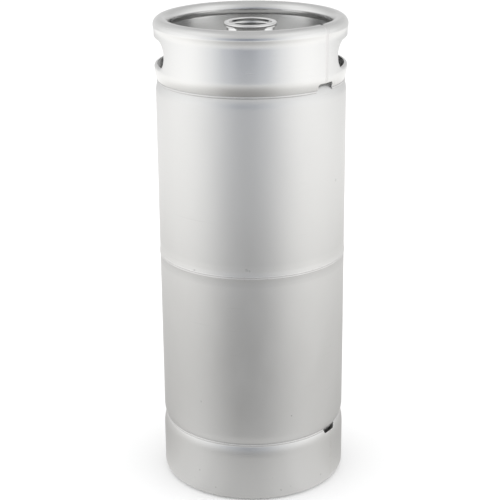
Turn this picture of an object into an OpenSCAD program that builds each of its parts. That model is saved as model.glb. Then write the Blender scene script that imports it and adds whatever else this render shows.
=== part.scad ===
// Beer keg, sixth-barrel size: a two-part drawn vessel between two rolled collars, with a
// bayonet neck and a drop-in extractor. Millimetres. The origin is the centre of the foot,
// +Z runs up the keg, the hand holes face +X and -X, and -Y is the front.

/* [Keg] */
// Overall height, foot to rim
keg_h = 592; // [570:1:620]
// Outside diameter of the vessel
shell_d = 231.6; // [230.8:0.1:232]
// Sheet thickness of the vessel
shell_t = 1.2; // [1:0.1:1.5]
// Height of the girth weld above the floor
girth_z = 298; // [270:1:320]

/* [Domed ends] */
// Distance from either end of the keg to the line where the straight wall stops
tangent_s = 90; // [89.5:0.1:90.5]
// Outside radius of the knuckle
knuckle_r = 33; // [32:0.5:34]
// Outside radius of the crown
crown_r = 190; // [180:1:210]

/* [Collars] */
// Outside diameter of both collars along their straight wall
collar_d = 233; // [232.8:0.1:233.4]
// Sheet thickness of both collars
collar_t = 1.5; // [1.2:0.1:1.8]
// Height of a collar from its rolled edge to its welded edge
collar_h = 75; // [74.5:0.1:75.5]
// Outside radius of the rolled edges
roll_r = 9.5; // [8.5:0.1:10]
// How far the rolled rim stands out past the wall of the top collar
rim_bulge = 1; // [0.6:0.1:1.4]
// Angle that each roll turns through past its lowest or highest point
roll_turn = 130; // [100:1:150]
// Width of the lengthwise weld in each collar
seam_w = 4; // [3:0.5:6]

/* [Hand holes] */
// Clear width of a hand hole, straight across
hand_w = 108; // [100:1:118]
// Clear height of a hand hole
hand_h = 32; // [28:0.5:33]
// Corner radius of a hand hole
hand_corner = 15; // [10:0.5:15]
// Depth of a hand hole's middle below the rim
hand_s = 40; // [38:0.5:41]
// How far the edge of a hand hole turns inward, from the outside of the wall
hand_lip = 4; // [3:0.5:7]

/* [Drain notches] */
// Width of the notches in the lower edge of the top collar
rim_notch_w = 27; // [14:0.5:32]
// Height of the notches in the lower edge of the top collar
rim_notch_h = 7.5; // [3:0.5:10]
// Width of the notches in the upper edge of the foot collar
foot_notch_w = 25; // [14:0.5:32]
// Height of the notches in the upper edge of the foot collar
foot_notch_h = 4.5; // [3:0.5:10]
// Azimuth of the top collar's seam and first notch, from the front towards +X
rim_seam_az = 49.2; // [0:0.1:54]
// Azimuth of the foot collar's seam and first notch, from the front towards +X
foot_seam_az = 58; // [0:0.1:90]

/* [Neck] */
// Depth of the neck's lip below the rim
lip_drop = 7.5; // [5:0.5:10]
// Outside diameter of the lip
lip_d = 64; // [63:0.5:66]
// Outside diameter of the neck below the lip
neck_d = 58; // [57:0.5:60]
// Diameter of the bayonet opening that a coupler drops into
socket_d = 44; // [43.9:0.1:44.4]
// Width of each of the two bayonet slots
slot_w = 13; // [12.4:0.1:14]

/* [Extractor] */
// Diameter of the ball that closes the beer way
ball_d = 14.3; // [14:0.1:14.5]
// Travel of the gas valve
gas_travel = 6; // [4:0.5:6.5]
// Outside diameter of the spear tube
spear_d = 16; // [15.6:0.1:16.2]
// Wall of the spear tube
spear_t = 0.8; // [0.6:0.1:1]
// Height of the spear's open lower end above the floor
spear_end_z = 44; // [42.5:0.5:60]

/* [Hidden] */
$fn = 120;

// Vessel
shell_r = shell_d / 2;
knuckle_c = [shell_r - knuckle_r, tangent_s];
crown_rise = sqrt(pow(crown_r - knuckle_r, 2) - pow(knuckle_c[0], 2));
crown_c = [0, tangent_s + crown_rise];
crown_angle = atan2(crown_rise, knuckle_c[0]);
girth_w = 4.4;
flare = 0.3;
flare_h = 6;

// Collars
collar_r = collar_d / 2;
edge_flat = 0.15;
edge_curve_r = 50;
edge_inset = 2.75;
edge_curve_h = sqrt(pow(edge_curve_r, 2) - pow(edge_curve_r - edge_inset, 2));
edge_curve_s = collar_h - edge_curve_h;
edge_angle = asin(edge_curve_h / edge_curve_r);
bulge_blend_r = 50;
bead_r = 1.6;
rim_notch = [rim_notch_w, rim_notch_h];
foot_notch = [foot_notch_w, foot_notch_h];
notch_corner = 3.5;
seam_angle = seam_w / collar_r * 180 / PI;

// Neck: heights counted down from the top of the lip
lip_z = keg_h - lip_drop;
lip_edge_h = 4.3;
lip_taper_h = 0.7;
lip_round = 0.8;
bevel = 0.8;
counterbore_r = 25.5;
counterbore_h = 4.3;
socket_h = 4;
chamber_r = 25.3;
chamber_h = 6.2;
groove_r = 26.2;
ring_t = 1.8;
flange_t = 3;
gasket_t = 2;
ledge_r = 19.3;
neck_h = 35;
neck_r = neck_d / 2;
socket_top = -counterbore_h;
chamber_top = socket_top - socket_h;
groove_top = chamber_top - chamber_h;
flange_top = groove_top - ring_t;
gasket_top = flange_top - flange_t;
ledge_top = gasket_top - gasket_t;

// Extractor: heights counted down from the top of the lip
gap = 0.3;
mouth_r = 14;
seal_top = gasket_top - gap;
seal_h = 6.9;
seal_bottom = seal_top - seal_h;
seal_r = 16.6;
port_r = 5.6;
cup_r = 10.9;
cup_t = 0.9;
cup_h = 22.7;
cup_sheet = 1.2;
cup_bottom = seal_bottom - cup_h;
cup_floor = cup_bottom + cup_sheet;
ball_r = ball_d / 2;
ball_z = seal_bottom - sqrt(pow(ball_r, 2) - pow(port_r, 2)) - gap;
cup_clearance = 2.8;
seat_t = 2;
seat_top = cup_bottom - gas_travel - cup_clearance;
cage_bottom = seat_top - seat_t;
cage_r = 18.8;
cage_t = 1.2;
cage_h = gasket_top - cage_bottom;
guide_r = spear_d / 2 + 0.4;
gas_wire = 2;
ball_wire = 0.8;

// Puts what is drawn for the foot end at the rim end
module at_rim() {
    translate([0, 0, keg_h]) mirror([0, 0, 1]) children();
}

// Puts what is drawn down from the top of the lip in its place
module at_lip() {
    translate([0, 0, lip_z]) children();
}

// Turns +X to an azimuth counted from the front towards +X
module at_azimuth(azimuth) {
    rotate([0, 0, azimuth - 90]) children();
}

// Flat sector from the origin, which reaches past a circle of half its reach
module wedge(from, to, reach) {
    steps = ceil((to - from) / 60);
    rays = [for (i = [0 : steps]) from + (to - from) * i / steps];
    polygon(concat([[0, 0]], [for (a = rays) reach * [cos(a), sin(a)]]));
}

// Stretch of sheet bent to an arc
module arc_band(centre, radius, thick, from, to) {
    translate(centre) intersection() {
        difference() {
            circle(radius);
            circle(radius - thick);
        }
        wedge(from, to, 2 * radius);
    }
}

// Flat ring section between two radii
module ring(inner, outer, low, high) {
    polygon([[inner, low], [outer, low], [outer, high], [inner, high]]);
}

// Rectangle with round corners, centred
module round_slot(w, h, r) {
    square([w - 2 * r, h], center = true);
    square([w, h - 2 * r], center = true);
    for (x = [-1, 1], y = [-1, 1]) {
        translate([x * (w / 2 - r), y * (h / 2 - r)]) circle(r);
    }
}

// Coil spring standing on z = 0, with a closed turn at each end
function coil_rise(turn, turns, height, wire) =
    let (closed = wire * 1.05)
    let (pitch = (height - wire - 2 * closed) / (turns - 2))
    turn < 1 ? closed * turn :
    turn > turns - 1 ? height - wire - closed * (turns - turn) :
    closed + pitch * (turn - 1);

module coil(turns, low_r, high_r, height, wire) {
    sides = 6;
    per_turn = 18;
    last = turns * per_turn;
    points = [
        for (i = [0 : last])
            let (turn = i / per_turn)
            let (mean_r = low_r + (high_r - low_r) * i / last)
            for (j = [0 : sides - 1])
                let (out = mean_r + wire / 2 * cos(360 * j / sides))
                let (up = wire / 2 + coil_rise(turn, turns, height, wire) + wire / 2 * sin(360 * j / sides))
                [out * cos(360 * turn), out * sin(360 * turn), up]
    ];
    skin = [
        for (i = [0 : last - 1], j = [0 : sides - 1])
            let (a = i * sides + j, b = i * sides + (j + 1) % sides)
            each [[a, b, b + sides], [a, b + sides, a + sides]]
    ];
    start_cap = [for (j = [sides - 1 : -1 : 0]) j];
    end_cap = [for (j = [0 : sides - 1]) last * sides + j];
    polyhedron(points, concat(skin, [start_cap, end_cap]));
}

function roll_centre(bulge) = [collar_r + bulge - roll_r, roll_r - edge_flat];

// Angle past the roll's widest point where the wall's blend takes over
function blend_angle(bulge) = acos((roll_r + bulge_blend_r - bulge) / (roll_r + bulge_blend_r));

// Section of a collar's rolled edge, drawn with the edge at the bottom
module roll_section(bulge) {
    intersection() {
        arc_band(roll_centre(bulge), roll_r, collar_t, -90 - roll_turn, blend_angle(bulge));
        square([2 * collar_r, collar_h]);
    }
}

// Section of a collar above its rolled edge
module wall_section(bulge) {
    roll_c = roll_centre(bulge);
    reach = roll_r + bulge_blend_r;
    blend_c = [collar_r + bulge_blend_r, roll_c[1] + sqrt(pow(reach, 2) - pow(reach - bulge, 2))];
    if (bulge > 0)
        arc_band(blend_c, bulge_blend_r + collar_t, collar_t, 180, 180 + blend_angle(bulge));
    ring(collar_r - collar_t, collar_r, blend_c[1], edge_curve_s);
    arc_band([collar_r - edge_curve_r, edge_curve_s], edge_curve_r, collar_t, 0, edge_angle);
}

// The whole round of a section but for the collar's seam
module collar_ring(seam_az) {
    rotate_extrude(angle = 360 - seam_angle, start = seam_az - 90 + seam_angle / 2) children();
}

module collar_seam(bulge, seam_az) {
    rotate_extrude(angle = seam_angle, start = seam_az - 90 - seam_angle / 2) {
        roll_section(bulge);
        wall_section(bulge);
    }
}

// The two opposite drain notches, one of them at the seam
module notches(size, seam_az) {
    below = 8;
    for (side = [0, 180]) {
        at_azimuth(seam_az + side)
            translate([collar_r - 12, 0, collar_h - size[1]])
                rotate([90, 0, 90])
                    linear_extrude(20)
                        translate([0, (size[1] + below) / 2])
                            round_slot(size[0], size[1] + below, notch_corner);
    }
}

// Bead between a collar's edge and the knuckle
module collar_bead(size, seam_az) {
    difference() {
        rotate_extrude() difference() {
            translate([collar_r - 3.6, collar_h + 0.9]) circle(bead_r, $fn = 48);
            translate(knuckle_c) circle(knuckle_r);
            arc_band([collar_r - edge_curve_r, edge_curve_s], edge_curve_r, collar_t, 0, edge_angle);
        }
        notches(size, seam_az);
    }
}

// Prism through both hand holes
module hand_prism(grow) {
    translate([0, 0, hand_s])
        rotate([90, 0, 90])
            linear_extrude(2 * collar_d, center = true)
                round_slot(hand_w + 2 * grow, hand_h + 2 * grow, hand_corner + grow);
}

// Section of one half of the vessel, drawn with its dome at the bottom
module shell_section(wall_end) {
    ring(shell_r - shell_t, shell_r, tangent_s, wall_end - flare_h);
    polygon([
        [shell_r - shell_t, wall_end - flare_h],
        [shell_r, wall_end - flare_h],
        [shell_r + flare, wall_end],
        [shell_r + flare - shell_t, wall_end]
    ]);
    arc_band(knuckle_c, knuckle_r, shell_t, -crown_angle, 0);
    arc_band(crown_c, crown_r, shell_t, -90, -crown_angle);
}

module top_rim() {
    color("silver") at_rim() collar_ring(rim_seam_az) roll_section(rim_bulge);
}

module top_chime() {
    color("silver") at_rim() difference() {
        union() {
            collar_ring(rim_seam_az) wall_section(rim_bulge);
            intersection() {
                hand_prism(collar_t);
                rotate_extrude() ring(collar_r - hand_lip, collar_r - collar_t / 2, 0, collar_h);
            }
        }
        hand_prism(0);
        notches(rim_notch, rim_seam_az);
    }
}

module top_chime_seam() {
    color("gainsboro") at_rim() difference() {
        collar_seam(rim_bulge, rim_seam_az);
        notches(rim_notch, rim_seam_az);
    }
}

module top_chime_weld() {
    color("gainsboro") at_rim() collar_bead(rim_notch, rim_seam_az);
}

module bottom_chime() {
    color("silver") difference() {
        collar_ring(foot_seam_az) wall_section(0);
        notches(foot_notch, foot_seam_az);
    }
}

module foot_rim() {
    color("silver") collar_ring(foot_seam_az) roll_section(0);
}

module bottom_chime_seam() {
    color("gainsboro") difference() {
        collar_seam(0, foot_seam_az);
        notches(foot_notch, foot_seam_az);
    }
}

module bottom_chime_weld() {
    color("gainsboro") collar_bead(foot_notch, foot_seam_az);
}

module upper_shell() {
    color("lightgray") at_rim() rotate_extrude() difference() {
        shell_section(keg_h - girth_z - girth_w / 2);
        ring(0, neck_r, 0, tangent_s);
    }
}

module lower_shell() {
    color("lightgray") rotate_extrude() shell_section(girth_z - girth_w / 2);
}

// Butt weld with two low ridges outside and a flat root inside
module girth_weld() {
    root = 0.4;
    ridge_r = 1;
    ridge_rise = 0.45;
    color("gainsboro") translate([0, 0, girth_z]) rotate_extrude() {
        ring(shell_r + flare - shell_t - root, shell_r + flare, -girth_w / 2, girth_w / 2);
        for (side = [-1, 1]) {
            translate([shell_r + flare + ridge_rise - ridge_r, side * (girth_w / 2 - ridge_r)])
                circle(ridge_r, $fn = 48);
        }
    }
}

// Turned neck: tapered lip, counterbore, bayonet flange, lug chamber, ring groove and ledge
module neck() {
    lip_r = lip_d / 2;
    socket_r = socket_d / 2;
    color("silver") at_lip() difference() {
        rotate_extrude() difference() {
            union() {
                ring(0, lip_r - lip_round, -lip_edge_h, 0);
                ring(0, lip_r, -lip_edge_h, -lip_round);
                translate([lip_r - lip_round, -lip_round]) circle(lip_round, $fn = 48);
                polygon([
                    [0, -lip_edge_h - lip_taper_h],
                    [neck_r, -lip_edge_h - lip_taper_h],
                    [lip_r, -lip_edge_h],
                    [0, -lip_edge_h]
                ]);
                ring(0, neck_r, -neck_h, -lip_edge_h);
            }
            polygon([
                [0, 0],
                [counterbore_r + bevel, 0],
                [counterbore_r, -bevel],
                [counterbore_r, socket_top],
                [0, socket_top]
            ]);
            ring(0, socket_r, chamber_top, socket_top);
            ring(0, chamber_r, ledge_top, chamber_top);
            ring(0, groove_r, flange_top, groove_top);
            ring(0, ledge_r, -neck_h, ledge_top);
        }
        intersection() {
            translate([0, 0, (chamber_top + socket_top) / 2]) cube([lip_d, slot_w, socket_h], center = true);
            translate([0, 0, chamber_top]) cylinder(r = chamber_r, h = socket_h);
        }
    }
}

module neck_weld() {
    fillet = 3;
    dome_s = crown_c[1] - sqrt(pow(crown_r, 2) - pow(neck_r, 2));
    color("gainsboro") at_rim() rotate_extrude() difference() {
        translate([neck_r, dome_s]) circle(fillet, $fn = 48);
        translate(crown_c) circle(crown_r);
        ring(0, neck_r, 0, tangent_s);
    }
}

// Flanged cage with two ears, four gas windows and the mouth that the seal closes
module valve_housing() {
    flange_r = 21.75;
    ear_r = 24.75;
    ear_w = 12;
    window = [12, 14];
    window_z = (gasket_top + cage_bottom) / 2;
    color("silver") at_lip() difference() {
        union() {
            translate([0, 0, gasket_top]) cylinder(r = flange_r, h = flange_t);
            intersection() {
                translate([0, 0, gasket_top + flange_t / 2]) cube([ear_w, 2 * ear_r, flange_t], center = true);
                translate([0, 0, gasket_top]) cylinder(r = ear_r, h = flange_t);
            }
            translate([0, 0, cage_bottom]) cylinder(r = cage_r, h = cage_h + 1);
        }
        translate([0, 0, cage_bottom - 1]) cylinder(r = cage_r - cage_t, h = cage_h + 1);
        translate([0, 0, cage_bottom]) cylinder(r = mouth_r, h = cage_h + flange_t + 1);
        for (turn = [0, 90]) {
            rotate([0, 0, turn + 45])
                translate([0, 0, window_z])
                    rotate([90, 0, 90])
                        linear_extrude(3 * cage_r, center = true)
                            round_slot(window[0], window[1], 4);
        }
    }
}

module neck_gasket() {
    gasket_r = 23;
    color("dimgray") at_lip() rotate_extrude() ring(ledge_r, gasket_r, ledge_top, gasket_top);
}

// Split ring with its gap at the back
module retaining_ring() {
    ring_inner = 23.4;
    ring_gap = 14;
    color("slategray") at_lip()
        rotate_extrude(angle = 360 - ring_gap, start = 90 + ring_gap / 2)
            ring(ring_inner, groove_r, flange_top, groove_top);
}

// Guide plate pressed into the foot of the cage, with a collar round the spear
module spring_seat() {
    collar = 3;
    collar_wall = 1.2;
    color("silver") at_lip() rotate_extrude() {
        ring(guide_r, cage_r - cage_t, cage_bottom, seat_top);
        ring(guide_r, guide_r + collar_wall, cage_bottom - collar, cage_bottom);
    }
}

module gas_spring() {
    mean_r = 13.6;
    color("slategray") at_lip() translate([0, 0, seat_top])
        coil(7, mean_r, mean_r, seal_bottom - cup_sheet - seat_top, gas_wire);
}

// Rubber seal with a boss in the mouth, a port for the beer and a groove for its core
module gas_seal() {
    boss_r = mouth_r - 0.5;
    boss_h = 2;
    dish = 1.9;
    shoulder = 1.4;
    color("#303030") at_lip() rotate_extrude() difference() {
        polygon([
            [port_r, seal_bottom],
            [seal_r, seal_bottom],
            [seal_r, seal_top - shoulder],
            [seal_r - shoulder, seal_top],
            [boss_r, seal_top],
            [boss_r, seal_top + boss_h],
            [port_r + dish, seal_top + boss_h],
            [port_r, seal_top + boss_h - dish]
        ]);
        core_section();
    }
}

module core_section() {
    ring(10.5, 14.5, seal_bottom, seal_bottom + 1.8);
}

module seal_core() {
    color("darkgray") at_lip() rotate_extrude() core_section();
}

// Cup that carries the seal on its flange and holds the ball and its spring
module spear_cup() {
    color("silver") at_lip() rotate_extrude() {
        ring(cup_r - cup_t, seal_r - 0.2, seal_bottom - cup_sheet, seal_bottom);
        ring(cup_r - cup_t, cup_r, cup_bottom, seal_bottom - cup_sheet);
        ring(spear_d / 2, cup_r, cup_bottom, cup_floor);
    }
}

module spear_tube() {
    top_z = lip_z + cup_floor;
    color("silver") translate([0, 0, spear_end_z]) difference() {
        cylinder(d = spear_d, h = top_z - spear_end_z);
        translate([0, 0, -1]) cylinder(d = spear_d - 2 * spear_t, h = top_z - spear_end_z + 2);
    }
}

module ball_spring() {
    low_r = 9.1;
    high_r = 4.6;
    contact = sqrt(pow(ball_r + ball_wire / 2 + gap / 2, 2) - pow(high_r, 2));
    color("slategray") at_lip() translate([0, 0, cup_floor])
        coil(5, low_r, high_r, ball_z - contact + ball_wire / 2 - cup_floor, ball_wire);
}

module beer_ball() {
    color("whitesmoke") at_lip() translate([0, 0, ball_z]) sphere(ball_r);
}

top_rim();
top_chime();
top_chime_seam();
top_chime_weld();
upper_shell();
girth_weld();
lower_shell();
bottom_chime_weld();
bottom_chime();
foot_rim();
bottom_chime_seam();
neck();
neck_weld();
valve_housing();
neck_gasket();
retaining_ring();
spring_seat();
gas_spring();
gas_seal();
seal_core();
spear_cup();
spear_tube();
ball_spring();
beer_ball();
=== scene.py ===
"""Slim steel beer keg: detailed meshes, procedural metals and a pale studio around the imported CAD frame.

Lengths in the shape tables are millimetres; azimuths are degrees from the front (-Y) towards +X.
"s" is a distance from the nearer end of the keg, as in the CAD source.
"""
import math

import bmesh
import bpy
import numpy as np
from mathutils import Matrix, Vector


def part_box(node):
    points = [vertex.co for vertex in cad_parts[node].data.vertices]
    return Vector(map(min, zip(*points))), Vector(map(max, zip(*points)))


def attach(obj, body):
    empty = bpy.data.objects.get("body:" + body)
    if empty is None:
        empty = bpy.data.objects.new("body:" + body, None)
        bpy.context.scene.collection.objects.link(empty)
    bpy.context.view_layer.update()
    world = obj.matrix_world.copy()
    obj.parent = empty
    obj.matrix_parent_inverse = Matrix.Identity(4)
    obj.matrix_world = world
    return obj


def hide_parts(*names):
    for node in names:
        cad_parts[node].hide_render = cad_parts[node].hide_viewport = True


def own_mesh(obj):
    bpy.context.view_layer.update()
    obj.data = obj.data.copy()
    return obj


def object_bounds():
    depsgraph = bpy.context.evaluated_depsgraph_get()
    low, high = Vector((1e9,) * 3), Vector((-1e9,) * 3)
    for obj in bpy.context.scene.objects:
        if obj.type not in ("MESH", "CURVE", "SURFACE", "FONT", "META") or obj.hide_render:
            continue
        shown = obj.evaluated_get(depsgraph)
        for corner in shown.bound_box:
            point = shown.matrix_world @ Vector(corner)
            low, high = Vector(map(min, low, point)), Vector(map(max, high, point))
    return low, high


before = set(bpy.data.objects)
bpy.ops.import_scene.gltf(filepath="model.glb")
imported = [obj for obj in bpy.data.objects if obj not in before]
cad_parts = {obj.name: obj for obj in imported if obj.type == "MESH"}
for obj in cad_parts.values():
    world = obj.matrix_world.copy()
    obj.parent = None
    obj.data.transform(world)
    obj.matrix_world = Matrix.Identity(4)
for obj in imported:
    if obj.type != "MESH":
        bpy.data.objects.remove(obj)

cad_low, cad_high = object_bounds()

MM = 0.001
KEG_H = cad_high.z / MM

# Vessel and collars, as the CAD has them
SHELL_R = 115.8
SHELL_T = 1.2
GIRTH_Z = 298.0
GIRTH_HALF = 2.2
SHARP_FROM = math.radians(50)
FLARE = 0.3
FLARE_H = 6.0
KNUCKLE = (82.8, 90.0, 33.0)
CROWN = (0.0, 223.43, 190.0)
CROWN_ANGLE = 58.17
NECK_R = 29.0
WALL_R = 116.5
WALL_T = 1.5
ROLL_R = 9.5
ROLL_END = -220.0
BLEND_R = 50.0
EDGE_S = 75.0
EDGE_CURVE = (66.5, 58.65, 50.0)
RIM_SEAM_AZ = 49.2
FOOT_SEAM_AZ = 58.0
RIM_NOTCH = (13.5, 7.5)
FOOT_NOTCH = (12.5, 4.5)
NOTCH_CORNER = 3.5
HOLE_S = 40.0
HOLE_HALF = (54.0, 16.0)
HOLE_CORNER = 15.0
HOLE_LIP_R = 112.5
BEND_R = 2.5


def keg_z(s, at_rim):
    """Height above the floor of a distance from the nearer end."""
    return KEG_H - s if at_rim else s


def place(az, r, z):
    """Points at azimuths az, radii r and heights z, stacked in the last axis."""
    a = np.radians(az)
    return np.stack(np.broadcast_arrays(r * np.sin(a), -r * np.cos(a), z), axis=-1)


def spread(breaks, steps):
    """Values that pass through every break, no further apart than the step of each interval."""
    out = [breaks[0]]
    for k, (a, b) in enumerate(zip(breaks, breaks[1:])):
        step = steps[k] if hasattr(steps, "__len__") else steps
        count = max(1, math.ceil((b - a) / step - 1e-6))
        out += [a + (b - a) * i / count for i in range(1, count + 1)]
    return np.array(out)


def arc(cx, cy, r, start, end, count):
    """Points along an arc, in degrees, both ends included."""
    return [
        (cx + r * math.cos(math.radians(a)), cy + r * math.sin(math.radians(a)))
        for a in np.linspace(start, end, count)
    ]


def filleted(corners, radius=0.3, steps=3, support=0.35):
    """Closed section with each corner rounded, and a row beside each round that keeps the flats flat.

    A corner is (x, y) or (x, y, its own radius); radius 0 leaves the point as it is.
    """
    out = []
    count = len(corners)
    for i, corner in enumerate(corners):
        here = np.array(corner[:2], float)
        r = corner[2] if len(corner) > 2 else radius
        before = np.array(corners[i - 1][:2], float) - here
        after = np.array(corners[(i + 1) % count][:2], float) - here
        lb, la = np.linalg.norm(before), np.linalg.norm(after)
        before, after = before / lb, after / la
        half = math.acos(max(-1.0, min(1.0, float(before @ after)))) / 2
        if r <= 0 or half > math.radians(87):
            out.append(tuple(here))
            continue
        cut = min(r / math.tan(half), 0.42 * min(lb, la))
        start, end = here + before * cut, here + after * cut
        if lb > 2 * (cut + support) + 0.1:
            out.append(tuple(start + before * support))
        for t in np.linspace(0, 1, steps + 1):
            w = math.sin(half) * 2 * t * (1 - t)
            point = (1 - t) ** 2 * start + w * here + t * t * end
            out.append(tuple(point / ((1 - t) ** 2 + w + t * t)))
        if la > 2 * (cut + support) + 0.1:
            out.append(tuple(end + after * support))
    return out


def finish_piece(name, vertices, faces, material, body, replaced=()):
    """Makes a smooth-shaded piece from points in millimetres, gives it its material and body, and hides the CAD nodes
    it replaces.
    """
    mesh = bpy.data.meshes.new(name)
    bm = bmesh.new()
    made = [bm.verts.new(v) for v in np.asarray(vertices, float) * MM]
    for f in faces:
        corners = [made[i] for i in f]
        if len(set(corners)) > 2:
            try:
                bm.faces.new(corners)
            except ValueError:
                pass
    bmesh.ops.remove_doubles(bm, verts=bm.verts, dist=2e-6)
    bmesh.ops.dissolve_degenerate(bm, edges=bm.edges, dist=1e-6)
    bmesh.ops.recalc_face_normals(bm, faces=bm.faces)
    for f in bm.faces:
        f.smooth = True
    for edge in bm.edges:
        edge.smooth = edge.calc_face_angle(0.0) < SHARP_FROM
    bm.to_mesh(mesh)
    bm.free()
    piece = bpy.data.objects.new(name, mesh)
    bpy.context.scene.collection.objects.link(piece)
    mesh.materials.append(material)
    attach(piece, body)
    if replaced:
        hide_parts(*replaced)
    return piece


class Skin:
    """Points and faces gathered from several grids, which are merged where they meet."""

    def __init__(self):
        self.points = []
        self.faces = []
        self.count = 0

    def grid(self, rows, around=True, closed=False, keep=None):
        """Adds a grid of points, rows x columns x 3. keep(row, column) says which cells are filled."""
        rows = np.asarray(rows, float)
        n, m = rows.shape[:2]
        for i in range(n if closed else n - 1):
            for j in range(m if around else m - 1):
                if keep is not None and not keep(i, j):
                    continue
                a, b = i * m + j, i * m + (j + 1) % m
                c, d = ((i + 1) % n) * m + (j + 1) % m, ((i + 1) % n) * m + j
                self.faces.append([self.count + k for k in (a, b, c, d)])
        self.points.append(rows.reshape(-1, 3))
        self.count += n * m

    def fan(self, ring):
        """Closes a ring of points with a disc of triangles."""
        ring = np.asarray(ring, float)
        start, middle = self.count, self.count + len(ring)
        self.points.append(np.vstack([ring, ring.mean(axis=0)]))
        self.faces += [[start + j, start + (j + 1) % len(ring), middle] for j in range(len(ring))]
        self.count += len(ring) + 1

    def piece(self, name, material, slot, body, replaced=()):
        return finish_piece(name, np.vstack(self.points), self.faces, material, body, replaced)


def lathe(name, section, count, material, slot, body, replaced=(), shift=None):
    """Turns a closed section of (radius, height) points round the axis. shift(az, r, z) moves points outward."""
    az = np.arange(count) * 360.0 / count
    section = np.array(section, float)
    r, z = section[:, :1], section[:, 1:]
    grown = r + (shift(az[None, :], r, z) if shift else 0.0)
    skin = Skin()
    skin.grid(place(az[None, :], grown, z), closed=True)
    return skin.piece(name, material, slot, body, replaced)


def ripple(seed, length, pitch):
    """Uneven crescents of a hand-laid weld: a height from 0 to 1 along a bead of that length."""
    draws = np.random.default_rng(seed)
    count = int(length / pitch) + 4
    widths = pitch * draws.uniform(0.75, 1.3, count)
    starts = np.concatenate([[0.0], np.cumsum(widths)])
    heights = draws.uniform(0.7, 1.0, count + 1)

    def height(along):
        along = np.clip(along, 0.0, starts[-1] - 1e-6)
        k = np.searchsorted(starts, along, side="right") - 1
        share = (along - starts[k]) / widths[np.minimum(k, count - 1)]
        return heights[k] * np.sin(np.pi * np.clip(share, 0, 1) ** 1.6) ** 0.6

    return height


# ---------------------------------------------------------------- materials


class Recipe:
    """A node material being put together round one Principled shader."""

    def __init__(self, name):
        self.material = bpy.data.materials.new(name)
        self.material.use_nodes = True
        self.tree = self.material.node_tree
        self.shader = self.tree.nodes["Principled BSDF"]
        coordinates = self.tree.nodes.new("ShaderNodeTexCoord")
        self.place = coordinates.outputs["Object"]

    def put(self, socket, value):
        if isinstance(value, bpy.types.NodeSocket):
            self.tree.links.new(value, socket)
        else:
            socket.default_value = value

    def math(self, operation, a, b=0.0, c=0.0, clamp=False):
        node = self.tree.nodes.new("ShaderNodeMath")
        node.operation = operation
        node.use_clamp = clamp
        for socket, value in zip(node.inputs, (a, b, c)):
            self.put(socket, value)
        return node.outputs[0]

    def stretched(self, scale, turn=(0.0, 0.0, 0.0)):
        """Object coordinates scaled per axis, in cycles per metre."""
        node = self.tree.nodes.new("ShaderNodeMapping")
        self.put(node.inputs["Vector"], self.place)
        node.inputs["Rotation"].default_value = [math.radians(t) for t in turn]
        node.inputs["Scale"].default_value = scale
        return node.outputs[0]

    def noise(self, vector, scale=1.0, detail=3.0, rough=0.5, warp=0.0):
        node = self.tree.nodes.new("ShaderNodeTexNoise")
        self.put(node.inputs["Vector"], vector)
        node.inputs["Scale"].default_value = scale
        node.inputs["Detail"].default_value = detail
        node.inputs["Roughness"].default_value = rough
        node.inputs["Distortion"].default_value = warp
        return node.outputs["Fac"]

    def ramp(self, value, low, high, out_low=0.0, out_high=1.0):
        node = self.tree.nodes.new("ShaderNodeMapRange")
        node.interpolation_type = "SMOOTHSTEP"
        for key, v in (("Value", value), ("From Min", low), ("From Max", high), ("To Min", out_low), ("To Max", out_high)):
            self.put(node.inputs[key], v)
        return node.outputs["Result"]

    def mix(self, share, a, b):
        node = self.tree.nodes.new("ShaderNodeMix")
        node.data_type = "RGBA"
        self.put(node.inputs["Factor"], share)
        self.put(node.inputs["A"], a)
        self.put(node.inputs["B"], b)
        return node.outputs["Result"]

    def axis(self, which):
        if not hasattr(self, "parts"):
            self.parts = self.tree.nodes.new("ShaderNodeSeparateXYZ")
            self.put(self.parts.inputs[0], self.place)
        return self.parts.outputs[which]

    def near(self, point, reach):
        """1 at a point in metres, fading to 0 at its reach."""
        node = self.tree.nodes.new("ShaderNodeVectorMath")
        node.operation = "DISTANCE"
        self.put(node.inputs[0], self.place)
        node.inputs[1].default_value = point
        return self.ramp(node.outputs["Value"], reach * 0.35, reach, 1.0, 0.0)

    def radius(self):
        x, y = self.axis("X"), self.axis("Y")
        return self.math("SQRT", self.math("ADD", self.math("MULTIPLY", x, x), self.math("MULTIPLY", y, y)))

    def bump(self, height, distance, strength=1.0, under=None):
        node = self.tree.nodes.new("ShaderNodeBump")
        node.inputs["Strength"].default_value = strength
        node.inputs["Distance"].default_value = distance
        self.put(node.inputs["Height"], height)
        if under is not None:
            self.put(node.inputs["Normal"], under)
        return node.outputs[0]


def grey(level, tint=(1.0, 1.0, 1.0)):
    return (level * tint[0], level * tint[1], level * tint[2], 1.0)


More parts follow.
